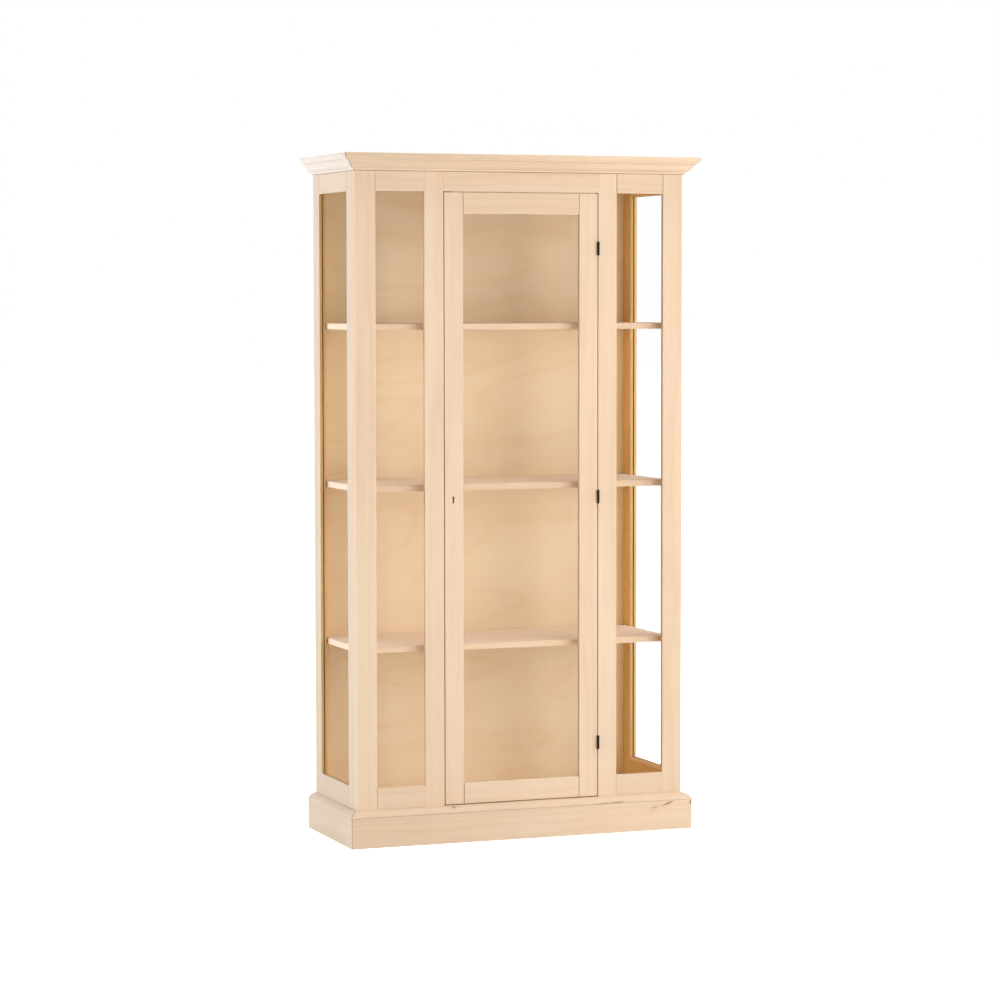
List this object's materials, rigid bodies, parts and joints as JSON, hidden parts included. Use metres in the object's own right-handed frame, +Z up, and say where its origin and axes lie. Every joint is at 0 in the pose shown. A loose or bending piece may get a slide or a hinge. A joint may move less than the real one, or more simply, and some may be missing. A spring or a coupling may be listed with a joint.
{
  "type": "display cabinet",
  "caption": "Tall free-standing wooden display cabinet with glazed front and sides, shelves, one hinged glazed door with a lock, a plinth and a cornice.",
  "frame": {"origin": "on the floor, in the middle of the cabinet's width and depth", "axes": "+Z up, -Y out of the front with the door, +X to the right seen from the front"},
  "size_m": [1.104, 0.438, 2],
  "materials": {
    "pale_wood": "unfinished fine-sanded pale wood",
    "inner_wood": "unfinished pale wood of the shelves and beads",
    "plywood": "thin plywood with a wavy face grain",
    "glass": "clear float glass",
    "hinge_metal": "dark bronze-black hinge metal",
    "brass": "dull brass",
    "steel": "zinc-plated steel",
    "catch_plastic": "black matt plastic"
  },
  "bodies": {
    "carcass": {"plinth_front": "pale_wood", "plinth_left": "pale_wood", "plinth_right": "pale_wood", "plinth_back": "inner_wood", "plinth_moulding_front": "pale_wood", "plinth_moulding_left": "pale_wood", "plinth_moulding_right": "pale_wood", "floor_panel": "inner_wood", "floor_battens": "inner_wood", "top_panel": "pale_wood", "back_panel": "plywood", "back_top_rail": "inner_wood", "back_panel_screws": "steel", "corner_stile_left": "pale_wood", "corner_stile_right": "pale_wood", "mullion_left": "pale_wood", "mullion_right": "pale_wood", "bay_top_rail_left": "pale_wood", "bay_top_rail_right": "pale_wood", "bay_bottom_rail_left": "pale_wood", "bay_bottom_rail_right": "pale_wood", "door_head_rail": "pale_wood", "door_sill_rail": "pale_wood", "side_front_stile_left": "pale_wood", "side_front_stile_right": "pale_wood", "side_rear_stile_left": "pale_wood", "side_rear_stile_right": "pale_wood", "side_top_rail_left": "pale_wood", "side_top_rail_right": "pale_wood", "side_bottom_rail_left": "pale_wood", "side_bottom_rail_right": "pale_wood", "bay_glass_left": "glass", "bay_glass_right": "glass", "side_glass_left": "glass", "side_glass_right": "glass", "bay_glazing_beads": "inner_wood", "side_glazing_beads": "inner_wood", "shelf_lower": "inner_wood", "shelf_middle": "inner_wood", "shelf_upper": "inner_wood", "shelf_pins": "steel", "cornice_front": "pale_wood", "cornice_left": "pale_wood", "cornice_right": "pale_wood", "hinge_frame_leaves": "hinge_metal", "hinge_pins": "hinge_metal", "frame_screws": "steel", "strike_plate": "brass", "door_catch": "catch_plastic"},
    "door": {"door_lock_stile": "pale_wood", "door_hinge_stile": "pale_wood", "door_top_rail": "pale_wood", "door_bottom_rail": "pale_wood", "door_glass": "glass", "door_glazing_beads": "inner_wood", "hinge_door_leaves": "hinge_metal", "door_screws": "steel", "lock_case": "brass", "keyhole_liner": "brass"},
    "lock_bolt": {"lock_bolt": "steel"}
  },
  "joints": [
    {"name": "door_swing", "type": "hinge", "parent": "carcass", "child": "door", "pos_m": [0.2405, -0.1808, 1.0005], "axis": [0, 0, 1], "range_deg": [0, 170]},
    {"name": "lock_bolt_slide", "type": "slide", "parent": "door", "child": "lock_bolt", "axis": [-1, 0, 0], "range_m": [0, 0.008]}
  ]
}
